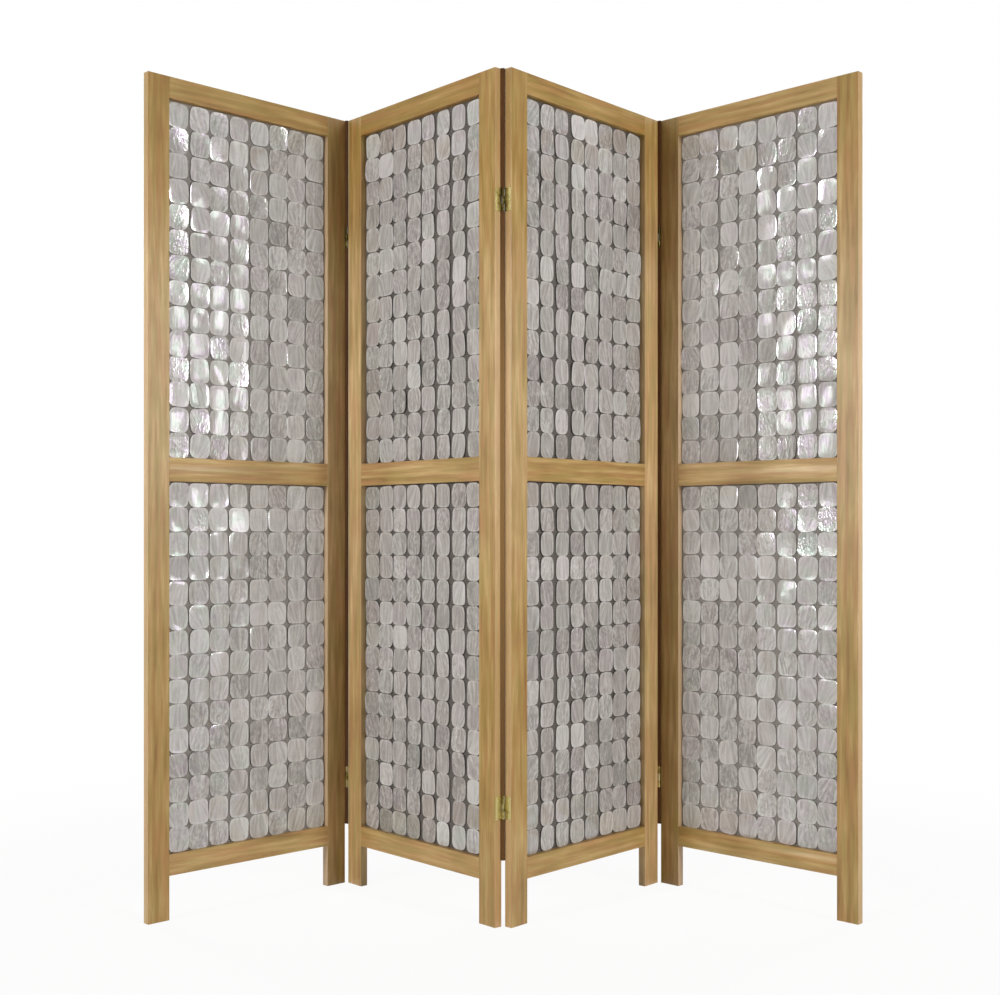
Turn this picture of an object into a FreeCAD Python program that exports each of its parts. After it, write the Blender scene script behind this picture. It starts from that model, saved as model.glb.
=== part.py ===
import FreeCAD, Part
import os

# Capiz shell folding screen: four hinged wooden panels, each with two fields of shell chips.
# Millimetres, +Z up. The screen stands in a zigzag on the floor with its front towards -Y.
# The origin lies on the floor, at the middle of the standing screen's outline.

# Standing angles: how far a panel turns from the X axis, seen from above
outer_panel_turn = 44.0
inner_panel_turn = 48.0

# Panel frame
panel_width = 530.0
panel_height = 1830.0
frame_thickness = 18.0
stile_width = 52.0
leg_height = 96.0
bottom_rail_height = 46.0
lower_field_height = 810.0
mid_rail_height = 52.0
top_rail_height = 46.0

# Mortise and tenon joints
tenon_length = 26.0
tenon_thickness = 6.0
tenon_shoulder = 8.0        # rail height left above and below each tenon
tenon_clearance = 0.15

# Rear rebate, with the cloth and the beads that hold it
rebate_width = 8.0
rebate_depth = 3.2
scrim_thickness = 0.7
scrim_clearance = 1.0       # cloth edge to the rebate's wall
bead_clearance = 0.2

# Shell chips
shell_columns = 8
upper_shell_rows = 14
lower_shell_rows = 15
shell_gap_across = 3.4
shell_gap_down = 2.6
shell_rise = 1.8            # crown of a chip above its rim

# Butt hinges
hinge_height = 50.0
upper_hinge_drop = 280.0    # top of the panel to the hinge's middle
lower_hinge_height = 254.0  # floor to the hinge's middle
knuckle_count = 3
knuckle_clearance = 0.3     # knuckle to its neighbours and to the other leaf
barrel_radius = 2.5
barrel_standoff = 0.5       # barrel to the face of the frame
leaf_thickness = 1.4
leaf_margin = 0.6           # frame left bare beside the leaf's far edge
pin_radius = 1.25
pin_clearance = 0.05
pin_proud = 0.2             # pin end beyond the last knuckle

# Closing strips, which fill the folds between the hinges, down to the bottom rails
strip_seat = 3.0            # width glued to the edge of the stile on the left
strip_clearance = 0.3       # strip to the stile that swings around it
strip_hinge_gap = 0.3       # strip end to the end of a pin
strip_turns = range(50, -101, -25)  # degrees about the pin where the facets of its round side meet

# Heights and widths that follow
opening_width = panel_width - 2 * stile_width
bottom_rail_top = leg_height + bottom_rail_height
mid_rail_base = bottom_rail_top + lower_field_height
mid_rail_top = mid_rail_base + mid_rail_height
top_rail_base = panel_height - top_rail_height
solid_depth = frame_thickness - rebate_depth
leaf_depth = frame_thickness - leaf_margin
joint_gap = 2 * barrel_radius
pin_offset = barrel_radius + barrel_standoff
knuckle_sweep = barrel_radius + knuckle_clearance
leaf_face = joint_gap / 2 - leaf_thickness  # pin's axis to the plane of a leaf's bare face
leaf_start = (knuckle_sweep ** 2 - leaf_face ** 2) ** 0.5  # the leaf reaches to the other leaf's knuckle

# Base and top of what fills each height of a panel
rails = {
    "bottom_rail": (leg_height, bottom_rail_top),
    "mid_rail": (mid_rail_base, mid_rail_top),
    "top_rail": (top_rail_base, panel_height),
}
fields = {
    "lower": (bottom_rail_top, mid_rail_base, lower_shell_rows),
    "upper": (mid_rail_top, top_rail_base, upper_shell_rows),
}
hinge_mids = {"lower": lower_hinge_height, "upper": panel_height - upper_hinge_drop}
hinge_clear = hinge_height / 2 + pin_proud + strip_hinge_gap
strip_spans = [
    (bottom_rail_top, hinge_mids["lower"] - hinge_clear),
    (hinge_mids["lower"] + hinge_clear, hinge_mids["upper"] - hinge_clear),
    (hinge_mids["upper"] + hinge_clear, panel_height),
]

# The panels turn to and fro, and each fold's pins stand in front of them or behind, by turns
panel_turns = [outer_panel_turn, -inner_panel_turn, inner_panel_turn, -outer_panel_turn]
folds = {"12": "front", "23": "back", "34": "front"}


def box(low, high):
    size = [b - a for a, b in zip(low, high)]
    return Part.makeBox(*size, FreeCAD.Vector(*low))


def recess(base, top):
    """The space that the rebates around one field take from the back of the frame."""
    reach = rebate_width
    low = (stile_width - reach, solid_depth, base - reach)
    high = (panel_width - stile_width + reach, frame_thickness, top + reach)
    return box(low, high)


def tenon(base, top, grow):
    """The tenon at a rail's left end, or with grow its mortise."""
    front = (solid_depth - tenon_thickness) / 2
    low = (stile_width - tenon_length - grow, front - grow, base + tenon_shoulder - grow)
    high = (stile_width, front + tenon_thickness + grow, top - tenon_shoulder + grow)
    return box(low, high)


def across(shape):
    """The same shape at the other side of the panel."""
    return shape.mirror(FreeCAD.Vector(panel_width / 2, 0, 0), FreeCAD.Vector(1, 0, 0))


recesses = [recess(base, top) for base, top, rows in fields.values()]


def stile():
    wood = box((0, 0, 0), (stile_width, frame_thickness, panel_height))
    mortises = [tenon(base, top, tenon_clearance) for base, top in rails.values()]
    return wood.cut(mortises + recesses)


def rail(base, top):
    wood = box((stile_width, 0, base), (panel_width - stile_width, frame_thickness, top))
    end = tenon(base, top, 0)
    return wood.cut(recesses).fuse([end, across(end)]).removeSplitter()


def scrim(base, top):
    """The cloth lies on the rebate's floor and reaches almost to its walls."""
    reach = rebate_width - scrim_clearance
    low = (stile_width - reach, solid_depth, base - reach)
    high = (panel_width - stile_width + reach, solid_depth + scrim_thickness, top + reach)
    return box(low, high)


def beads(base, top):
    """Four strips over the cloth's edge, flush with the back of the frame."""
    front = solid_depth + scrim_thickness
    reach = rebate_width - bead_clearance
    left, right = stile_width, panel_width - stile_width
    upright = box((left - reach, front, base - reach), (left, frame_thickness, top + reach))
    lower = box((left, front, base - reach), (right, frame_thickness, base))
    upper = box((left, front, top), (right, frame_thickness, top + reach))
    return [upright, across(upright), lower, upper]


def shell_chip(width, height):
    """One chip, centred on its rim: flat behind, with a shallow crown in front."""
    x, z = width / 2, height / 2
    rim = [FreeCAD.Vector(a, 0, b) for a, b in ((-x, -z), (x, -z), (x, z), (-x, z))]
    crown = FreeCAD.Vector(0, -shell_rise, 0)
    faces = [Part.Face(Part.makePolygon(rim + rim[:1]))]
    for start, end in zip(rim, rim[1:] + rim[:1]):
        faces.append(Part.Face(Part.makePolygon([start, end, crown, start])))
    return Part.Solid(Part.Shell(faces))


def shells(base, top, rows):
    """The chips of one field, in rows on the face of the cloth."""
    across_pitch = opening_width / shell_columns
    down_pitch = (top - base) / rows
    chip = shell_chip(across_pitch - shell_gap_across, down_pitch - shell_gap_down)
    field = []
    for row in range(rows):
        for column in range(shell_columns):
            x = stile_width + (column + 0.5) * across_pitch
            z = base + (row + 0.5) * down_pitch
            field.append(chip.translated(FreeCAD.Vector(x, solid_depth, z)))
    return Part.makeCompound(field)


def leaf(first_knuckle):
    """A leaf on the pin's axis, for a stile to its left with the pin in front of it."""
    pitch = hinge_height / knuckle_count
    foot = -hinge_height / 2
    side = -joint_gap / 2
    brass = box(
        (side, leaf_start, foot), (side + leaf_thickness, pin_offset + leaf_depth, -foot)
    )
    for number in range(first_knuckle, knuckle_count, 2):
        base = foot + number * pitch + knuckle_clearance / 2
        length = pitch - knuckle_clearance
        barrel = Part.makeCylinder(barrel_radius, length, FreeCAD.Vector(0, 0, base))
        neck = box((side, 0, base), (side + leaf_thickness, leaf_start, base + length))
        brass = brass.fuse([barrel, neck])
    bore = Part.makeCylinder(pin_radius + pin_clearance, hinge_height, FreeCAD.Vector(0, 0, foot))
    return brass.cut(bore).removeSplitter()


def pin():
    length = hinge_height + 2 * pin_proud
    return Part.makeCylinder(pin_radius, length, FreeCAD.Vector(0, 0, -length / 2))


def closing_strip(base, top):
    """A strip on the pin's axis, for a stile to its left with the pin in front of it.

    It keeps inside the circle that the other stile's near corner draws around the pin.
    """
    side = -joint_gap / 2
    reach = FreeCAD.Vector(side, pin_offset, 0).Length - strip_clearance
    outline = [
        FreeCAD.Vector(side, pin_offset, base),
        FreeCAD.Vector(side, pin_offset + strip_seat, base),
    ]
    for turn in strip_turns:
        spin = FreeCAD.Rotation(FreeCAD.Vector(0, 0, 1), turn)
        outline.append(spin.multVec(FreeCAD.Vector(reach, 0, base)))
    end = Part.Face(Part.makePolygon(outline + outline[:1]))
    return end.extrude(FreeCAD.Vector(0, 0, top - base))


def pin_place(edge, face, height=0.0):
    """Where a pin stands in a panel's own frame: beside its left or right edge."""
    x = panel_width + joint_gap / 2 if edge == "right" else -joint_gap / 2
    y = -pin_offset if face == "front" else frame_thickness + pin_offset
    return FreeCAD.Vector(x, y, height)


def seat(shape, edge, face, height=0.0):
    """Moves what is drawn on the pin's axis to its edge and face of a panel."""
    if edge == "left":
        shape = shape.mirror(FreeCAD.Vector(), FreeCAD.Vector(1, 0, 0))
    if face == "back":
        shape = shape.mirror(FreeCAD.Vector(), FreeCAD.Vector(0, 1, 0))
    return shape.translated(pin_place(edge, face, height))


def seated_leaf(edge, face, height):
    """The right-hand edge has the outer knuckles, the left-hand edge those between."""
    return seat(leaf(0 if edge == "right" else 1), edge, face, height)


def panel_places():
    """Chains the panels pin to pin, then centres the outline on the origin."""
    up = FreeCAD.Vector(0, 0, 1)
    places = []
    for turn, face in zip(panel_turns, ["front", *folds.values()]):
        spin = FreeCAD.Rotation(up, turn)
        base = FreeCAD.Vector()
        if places:
            pin_axis = places[-1].multVec(pin_place("right", face))
            base = pin_axis - spin.multVec(pin_place("left", face))
        places.append(FreeCAD.Placement(base, spin))
    plan = [(0, 0), (panel_width, 0), (0, frame_thickness), (panel_width, frame_thickness)]
    corners = [place.multVec(FreeCAD.Vector(x, y, 0)) for place in places for x, y in plan]
    xs = [corner.x for corner in corners]
    ys = [corner.y for corner in corners]
    middle = FreeCAD.Vector((min(xs) + max(xs)) / 2, (min(ys) + max(ys)) / 2, 0)
    return [FreeCAD.Placement(place.Base - middle, place.Rotation) for place in places]


def panel_pieces():
    """Every piece of one panel, in the panel's own frame."""
    left_stile = stile()
    pieces = {"left_stile": left_stile, "right_stile": across(left_stile)}
    for name, (base, top) in rails.items():
        pieces[name] = rail(base, top)
    strips = []
    for name, (base, top, rows) in fields.items():
        pieces[name + "_scrim"] = scrim(base, top)
        pieces[name + "_shells"] = shells(base, top, rows)
        strips += beads(base, top)
    pieces["beads"] = Part.makeCompound(strips)
    return pieces


os.makedirs("parts", exist_ok=True)
places = panel_places()


def write(shape, place, node):
    standing = shape.copy()
    standing.Placement = place.multiply(shape.Placement)
    standing.exportStep(f"parts/{node}.step")


for number, place in enumerate(places, 1):
    for name, shape in panel_pieces().items():
        write(shape, place, f"panel_{number}_{name}")

for fold, face in folds.items():
    left_place, right_place = (places[int(number) - 1] for number in fold)
    for level, height in hinge_mids.items():
        left_leaf = seated_leaf("right", face, height)
        right_leaf = seated_leaf("left", face, height)
        write(left_leaf, left_place, f"hinge_{fold}_{level}_left_leaf")
        write(right_leaf, right_place, f"hinge_{fold}_{level}_right_leaf")
    pins = [seat(pin(), "right", face, height) for height in hinge_mids.values()]
    write(Part.makeCompound(pins), left_place, f"hinge_{fold}_pins")
    strips = [seat(closing_strip(base, top), "right", face) for base, top in strip_spans]
    write(Part.makeCompound(strips), left_place, f"closing_strip_{fold}")

for fold, face in folds.items():
    axis = places[int(fold[0]) - 1].multVec(pin_place("right", face))
    print(f"fold {fold}: pin axis at x {axis.x:.3f}, y {axis.y:.3f}")
for number, place in enumerate(places, 1):
    print(f"panel {number}: corner at x {place.Base.x:.3f}, y {place.Base.y:.3f}")
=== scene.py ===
import bpy
import bmesh
import math
import random
from mathutils import Matrix, Vector


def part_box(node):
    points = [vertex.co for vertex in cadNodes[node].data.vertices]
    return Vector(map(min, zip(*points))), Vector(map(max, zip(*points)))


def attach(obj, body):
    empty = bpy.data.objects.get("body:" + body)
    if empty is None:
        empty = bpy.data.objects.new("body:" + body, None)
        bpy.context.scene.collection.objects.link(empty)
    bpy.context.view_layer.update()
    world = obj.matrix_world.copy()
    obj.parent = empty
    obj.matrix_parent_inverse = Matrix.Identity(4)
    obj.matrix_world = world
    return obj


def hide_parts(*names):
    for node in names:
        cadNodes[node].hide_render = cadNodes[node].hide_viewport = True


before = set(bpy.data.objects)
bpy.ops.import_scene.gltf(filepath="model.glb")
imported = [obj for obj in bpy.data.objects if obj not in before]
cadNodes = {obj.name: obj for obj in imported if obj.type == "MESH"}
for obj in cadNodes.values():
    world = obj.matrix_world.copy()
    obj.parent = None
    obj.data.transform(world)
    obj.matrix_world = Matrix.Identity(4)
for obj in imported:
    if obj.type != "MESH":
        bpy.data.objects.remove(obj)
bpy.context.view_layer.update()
scene = bpy.context.scene
scene.view_settings.view_transform = "Standard"
print("frame loaded:", len(cadNodes), "nodes")

millimetre = 0.001
stileWidth = 0.052  # metres
panelNames = ["panel_1", "panel_2", "panel_3", "panel_4"]
folds = {"12": "back", "23": "front", "34": "back"}  # the side of the screen where each fold's edge stands
levels = ("upper", "lower")


def linearColor(hexCode):  # sRGB hex to linear
    channels = [int(hexCode[i:i + 2], 16) / 255 for i in (1, 3, 5)]
    return [c / 12.92 if c <= 0.04045 else ((c + 0.055) / 1.055) ** 2.4 for c in channels] + [1.0]


def addNode(tree, kind, inputs=None, stops=None, **settings):  # an input is a value or another node's output
    node = tree.nodes.new(kind)
    for name, value in settings.items():
        setattr(node, name, value)
    for name, value in (inputs or {}).items():
        if isinstance(value, bpy.types.NodeSocket):
            tree.links.new(value, node.inputs[name])
        else:
            node.inputs[name].default_value = value
    if stops:  # from the lowest place to the highest
        ramp = node.color_ramp.elements
        ramp[0].position, ramp[1].position = stops[0][0], stops[-1][0]
        for place, color in stops[1:-1]:
            ramp.new(place)
        for element, (place, color) in zip(ramp, stops):
            element.color = linearColor(color)
    return node


def newMaterial(name):
    material = bpy.data.materials.new(name)
    material.use_nodes = True
    material.node_tree.nodes.clear()
    return material, material.node_tree


def finishMaterial(tree, shader):
    addNode(tree, "ShaderNodeOutputMaterial", {"Surface": shader.outputs[0]})


def newPiece(mesh, body):  # a piece of the screen, which moves with a panel
    piece = bpy.data.objects.new(mesh.name, mesh)
    scene.collection.objects.link(piece)
    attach(piece, body)
    return piece


def middle(node):
    low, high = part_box(node)
    return (low + high) / 2


# Each panel's own axes, worked out from its two stiles
class Panel:
    def __init__(self, name):
        left, right = middle(name + "_left_stile"), middle(name + "_right_stile")
        self.name = name
        self.place = "outer" if name in (panelNames[0], panelNames[-1]) else "inner"
        self.centre = (left + right) / 2
        self.centre.z = 0
        self.across = (right - left).normalized()
        self.back = Vector((-self.across.y, self.across.x, 0))
        self.turn = math.atan2(self.across.y, self.across.x)
        self.width = (right - left).length + stileWidth

    def point(self, across, back, up):
        return self.centre + self.across * across + self.back * back + Vector((0, 0, up))

    def depth(self, node):  # how far a node's middle lies behind the panel's middle plane
        return (middle(node) - self.centre).dot(self.back)

    def field(self, level):  # base and top of a shell field
        below, above = {"lower": ("bottom", "mid"), "upper": ("mid", "top")}[level]
        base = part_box(f"{self.name}_{below}_rail")[1].z
        return base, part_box(f"{self.name}_{above}_rail")[0].z


panels = [Panel(name) for name in panelNames]
openingWidth = panels[0].width - 2 * stileWidth


# Stained pine, planed, sanded and varnished: soft golden bands run along each board, with fine darker fibres
# between them and a low broad shine
pineLook = {
    "grainStops": [(0.3, "#7E562B"), (0.6, "#B18B53"), (0.9, "#D6B57E")],
    "noises": {  # mm across, through and along a board; fibres are drawn wider than real so that they show
        "wander": {"size": (80.0, 80.0, 300.0), "detail": 2.0, "roughness": 0.5},
        "streaks": {"size": (10.0, 10.0, 150.0), "detail": 2.0, "roughness": 0.5},
        "fibres": {"size": (1.2, 1.2, 45.0), "detail": 4.0, "roughness": 0.65},
        "clouds": {"size": (140.0, 140.0, 140.0), "detail": 3.0, "roughness": 0.5},
        "blush": {"size": (13.0, 13.0, 130.0), "detail": 2.0, "roughness": 0.5},
    },
    "heart": (70.0, 40.0, 0.0), "ringWidth": 12.0, "ringWander": 30.0,  # mm; from the log's heart to a board
    "cutApart": (37.0, 23.0, 4100.0),  # mm, how far apart in the log two boards are cut at most
    "grainStart": -0.185, "grainWeights": {"rings": 0.25, "streaks": 0.7, "fibres": 0.25, "clouds": 0.4},
    "tints": {"#B88356": 0.66, "#A38A4C": 0.34}, "tintFrom": 0.5, "tintShare": 0.55,  # rose and olive blushes
    "sawnEdge": "#D8B58E", "sawnShare": 0.4, "sawnFacing": (0.7, 0.95),  # the narrow faces are drawn paler
    "stainAndShade": (1.06, 1.16), "hue": 0.506,
    "paintedFalloff": [(1.05, 0.5, 0.86), (1.25, 1.75, 0.74)],  # metres up, from the palest to the darkest; how dark: painted light and shade, palest about a metre up as the lamps' sheen there, darker towards the top and the feet
    "richStainAndShade": (0.8, 1.15), "rich": (1.11, 0.87),  # the darker the stain and the painted shade, the richer its colour
    "shadeGreyed": 0.9,  # painted shade: the stiles drawn darker as shade are drawn greyer too
    "roughness": {"stile": (0.26, 0.4), "rail": (0.4, 0.52)}, "bumpDepth": 0.06,  # mm
    "eased": {"board": 0.4, "bead": 0.3},  # mm
}
boardToneAndShade = {  # some boards took more stain than others; the stiles either side of the folds behind carry painted shade, darker, on the end panels and painted light, paler, on the inner panels
    "panel_1_right_stile": 0.88, "panel_2_left_stile": 1.17,
    "panel_3_right_stile": 1.17, "panel_4_left_stile": 0.88,
    "panel_1_top_rail": 1.1, "panel_2_top_rail": 0.97, "panel_3_top_rail": 0.97, "panel_4_top_rail": 1.1,
    "panel_2_mid_rail": 0.9, "panel_3_mid_rail": 0.9,
}
edgeLightAndShade = {  # painted light and shade on the narrow faces: the end panels' jambs by the folds behind are drawn pale, lit, the inner panels' ones as dark as their faces, in shade
    "panel_1_right_stile": 0.95, "panel_2_left_stile": 0.05,
    "panel_3_right_stile": 0.05, "panel_4_left_stile": 0.95,
}


def boardLengthwise(tree, place, panel, member):  # millimetres, with Z along the board
    upright = addNode(tree, "ShaderNodeMapping", {
        "Vector": place, "Rotation": (0, 0, -panel.turn), "Scale": (1 / millimetre,) * 3}).outputs[0]
    if member.endswith("stile"):
        return upright
    lying = addNode(tree, "ShaderNodeMapping", {
        "Vector": upright, "Rotation": (0, math.pi / 2, 0)}).outputs[0]
    if member.endswith("rail"):
        return lying
    along = addNode(tree, "ShaderNodeSeparateXYZ", {"Vector": upright}).outputs["X"]
    offset = addNode(tree, "ShaderNodeMath", {
        0: along, 1: panel.centre.dot(panel.across) / millimetre}, operation="SUBTRACT").outputs[0]
    offset = addNode(tree, "ShaderNodeMath", {0: offset}, operation="ABSOLUTE").outputs[0]
    between = addNode(tree, "ShaderNodeMath", {
        0: offset, 1: openingWidth / 2 / millimetre}, operation="LESS_THAN").outputs[0]
    return addNode(tree, "ShaderNodeMix", {  # beads between the stiles lie, the others stand
        0: between, 4: upright, 5: lying}, data_type="VECTOR").outputs[1]


def boardPatterns(tree, cut):
    look = pineLook
    noises = {}
    for name, noise in look["noises"].items():
        spread = addNode(tree, "ShaderNodeVectorMath", {
            0: cut, 1: [1 / size for size in noise["size"]]}, operation="MULTIPLY").outputs[0]
        noises[name] = addNode(tree, "ShaderNodeTexNoise", {
            "Vector": spread, "Scale": 1.0,
            "Detail": noise["detail"], "Roughness": noise["roughness"]}).outputs
    patterns = {name: outputs["Fac"] for name, outputs in noises.items()}

    grown = addNode(tree, "ShaderNodeVectorMath", {0: cut, 1: look["heart"]}, operation="ADD").outputs[0]
    grown = addNode(tree, "ShaderNodeVectorMath", {
        0: noises["wander"]["Color"], 1: (look["ringWander"],) * 3, 2: grown},
        operation="MULTIPLY_ADD").outputs[0]
    flat = addNode(tree, "ShaderNodeVectorMath", {0: grown, 1: (1, 1, 0)}, operation="MULTIPLY").outputs[0]
    radius = addNode(tree, "ShaderNodeVectorMath", {0: flat}, operation="LENGTH").outputs["Value"]
    count = addNode(tree, "ShaderNodeMath", {0: radius, 1: look["ringWidth"]}, operation="DIVIDE").outputs[0]
    patterns["rings"] = addNode(tree, "ShaderNodeTexNoise", {
        "W": count, "Scale": 1.0, "Detail": 1.0}, noise_dimensions="1D").outputs["Fac"]
    return patterns


def stainedPine(board, panel, member):
    look = pineLook
    stile = member.endswith("stile")
    # the board's stain, with painted shade on the end panels' stiles by the folds behind and painted light on
    # the inner panels' ones
    tone = boardToneAndShade.get(board, 1.0)
    material, tree = newMaterial(f"Stained pine, varnished, {board}")
    place = addNode(tree, "ShaderNodeTexCoord").outputs
    dice = addNode(tree, "ShaderNodeObjectInfo").outputs["Random"]
    shift = addNode(tree, "ShaderNodeVectorMath", {
        0: dice, 1: look["cutApart"]}, operation="MULTIPLY").outputs[0]
    cut = addNode(tree, "ShaderNodeVectorMath", {
        0: boardLengthwise(tree, place["Object"], panel, member), 1: shift}, operation="ADD").outputs[0]
    patterns = boardPatterns(tree, cut)

    grain = look["grainStart"]
    for name, weight in look["grainWeights"].items():
        grain = addNode(tree, "ShaderNodeMath", {
            0: patterns[name], 1: weight, 2: grain}, operation="MULTIPLY_ADD").outputs[0]
    color = addNode(tree, "ShaderNodeValToRGB", {"Fac": grain}, stops=look["grainStops"]).outputs["Color"]
    for tint, full in look["tints"].items():
        share = addNode(tree, "ShaderNodeMapRange", {
            "Value": patterns["blush"], "From Min": look["tintFrom"], "From Max": full,
            "To Max": look["tintShare"]}).outputs[0]
        color = addNode(tree, "ShaderNodeMix", {
            0: share, 6: color, 7: linearColor(tint)}, data_type="RGBA").outputs[2]

    # paler narrow faces; on the stiles by the folds behind, painted light where the jamb is lit and painted
    # shade where it is not
    facing = addNode(tree, "ShaderNodeVectorMath", {
        0: place["Normal"], 1: panel.across}, operation="DOT_PRODUCT").outputs["Value"]
    facing = addNode(tree, "ShaderNodeMath", {0: facing}, operation="ABSOLUTE").outputs[0]
    edgePaleness = addNode(tree, "ShaderNodeMapRange", {
        "Value": facing, "From Min": look["sawnFacing"][0], "From Max": look["sawnFacing"][1],
        "To Max": edgeLightAndShade.get(board, look["sawnShare"])}).outputs[0]
    color = addNode(tree, "ShaderNodeMix", {
        0: edgePaleness, 6: color, 7: linearColor(look["sawnEdge"])}, data_type="RGBA").outputs[2]

    height = addNode(tree, "ShaderNodeSeparateXYZ", {"Vector": place["Object"]}).outputs["Z"]
    stainAndShade = addNode(tree, "ShaderNodeMapRange", {
        "Value": dice, "To Min": look["stainAndShade"][0] * tone, "To Max": look["stainAndShade"][1] * tone}).outputs[0]
    # painted light and shade: the board is drawn palest about a metre up and darker towards its top and its
    # feet
    for start, darkest, share in look["paintedFalloff"]:
        falloff = addNode(tree, "ShaderNodeMapRange", {
            "Value": height, "From Min": start, "From Max": darkest, "To Min": 1.0, "To Max": share},
            interpolation_type="SMOOTHSTEP").outputs[0]
        stainAndShade = addNode(tree, "ShaderNodeMath", {0: stainAndShade, 1: falloff}, operation="MULTIPLY").outputs[0]
    # painted shade: the shaded stiles are also drawn greyer
    shadeGreyed = look["shadeGreyed"] if stile and tone < 1 else 1.0
    richness = addNode(tree, "ShaderNodeMapRange", {
        "Value": stainAndShade, "From Min": look["richStainAndShade"][0], "From Max": look["richStainAndShade"][1],
        "To Min": look["rich"][0] * shadeGreyed, "To Max": look["rich"][1] * shadeGreyed}).outputs[0]
    color = addNode(tree, "ShaderNodeHueSaturation", {
        "Color": color, "Value": stainAndShade, "Saturation": richness, "Hue": look["hue"]}).outputs[0]

    smooth, rough = look["roughness"]["rail" if member.endswith("rail") else "stile"]
    gloss = addNode(tree, "ShaderNodeMapRange", {
        "Value": patterns["fibres"], "To Min": smooth, "To Max": rough}).outputs[0]
    bump = addNode(tree, "ShaderNodeBump", {
        "Height": patterns["fibres"], "Strength": 0.35,
        "Distance": look["bumpDepth"] * millimetre}).outputs[0]
    shader = addNode(tree, "ShaderNodeBsdfPrincipled", {
        "Base Color": color, "Roughness": gloss, "Normal": bump, "IOR": 1.5, "Specular IOR Level": 0.4,
        "Coat Weight": 0.1, "Coat Roughness": 0.3})
    finishMaterial(tree, shader)
    return material


easedEdge = {"weld": 0.01, "segments": 2, "sharperThan": 50}  # mm; degrees


def joinCorners(node):  # faces that meet share their corners
    weld = node.modifiers.new("meetingCorners", "WELD")
    weld.merge_threshold = easedEdge["weld"] * millimetre


def easeEdges(node, width):  # the sharp edges of a sawn piece, rubbed round
    joinCorners(node)
    bevel = node.modifiers.new("easedEdges", "BEVEL")
    bevel.width = width
    bevel.segments = easedEdge["segments"]
    bevel.limit_method = "ANGLE"
    bevel.angle_limit = math.radians(easedEdge["sharperThan"])


def dressFrame():
    for panel in panels:
        for member in ("left_stile", "right_stile", "top_rail", "mid_rail", "bottom_rail", "beads"):
            board = f"{panel.name}_{member}"
            cadNodes[board].material_slots[0].material = stainedPine(board, panel, member)
            eased = pineLook["eased"]["bead" if member == "beads" else "board"]
            easeEdges(cadNodes[board], eased * millimetre)


# Pine, left matt and drawn dark as painted shade: the closing strips read as shadow between the panels, and
# the one that stands in front is drawn paler from about 1.6 m down, less so at its foot, as lighter painted
# shade there
stripLook = {
    "stops": [(0.35, "#3E2611"), (0.65, "#5E3C1C")], "paleLow": "#886B41",
    "fibre": (0.8, 0.8, 40.0), "bumpDepth": 0.05, "swell": 0.5,  # mm
    "paleLowBelow": (1.6, 1.1), "paleLowAbove": (0.15, 0.95),  # metres up where the paler painted shade starts and is full
    "paleLowShare": 0.85, "footShare": 0.2,
}


def shadowPine(paleLow):
    look = stripLook
    material, tree = newMaterial("Pine, stained dark, matt" + (", rubbed" if paleLow else ""))
    place = addNode(tree, "ShaderNodeTexCoord").outputs["Object"]
    spread = addNode(tree, "ShaderNodeVectorMath", {
        0: place, 1: [1 / (size * millimetre) for size in look["fibre"]]}, operation="MULTIPLY").outputs[0]
    fibres = addNode(tree, "ShaderNodeTexNoise", {
        "Vector": spread, "Scale": 1.0, "Detail": 3.0}).outputs["Fac"]
    color = addNode(tree, "ShaderNodeValToRGB", {"Fac": fibres}, stops=look["stops"]).outputs["Color"]
    # painted shade: the front strip is drawn paler low down
    if paleLow:
        height = addNode(tree, "ShaderNodeSeparateXYZ", {"Vector": place}).outputs["Z"]
        below, above = look["paleLowBelow"], look["paleLowAbove"]
        upper = addNode(tree, "ShaderNodeMapRange", {
            "Value": height, "From Min": below[0], "From Max": below[1], "To Max": look["paleLowShare"]},
            interpolation_type="SMOOTHSTEP").outputs[0]
        lower = addNode(tree, "ShaderNodeMapRange", {
            "Value": height, "From Min": above[0], "From Max": above[1], "To Min": look["footShare"]},
            interpolation_type="SMOOTHSTEP").outputs[0]
        share = addNode(tree, "ShaderNodeMath", {0: upper, 1: lower}, operation="MULTIPLY").outputs[0]
        color = addNode(tree, "ShaderNodeMix", {
            0: share, 6: color, 7: linearColor(look["paleLow"])}, data_type="RGBA").outputs[2]
    bump = addNode(tree, "ShaderNodeBump", {
        "Height": fibres, "Strength": 0.3, "Distance": look["bumpDepth"] * millimetre}).outputs[0]
    shader = addNode(tree, "ShaderNodeBsdfPrincipled", {
        "Base Color": color, "Roughness": 0.7, "Normal": bump, "IOR": 1.45, "Specular IOR Level": 0.15})
    finishMaterial(tree, shader)
    return material


def dressStrips():
    closingShade = {side: shadowPine(side == "front") for side in ("front", "back")}
    for fold, side in folds.items():
        strip = cadNodes[f"closing_strip_{fold}"]
        strip.material_slots[0].material = closingShade[side]
        joinCorners(strip)
        swell = strip.modifiers.new("stainSwollen", "DISPLACE")
        swell.strength = stripLook["swell"] * millimetre
        swell.mid_level = 0


dressFrame()
dressStrips()
print("frames dressed")


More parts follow.
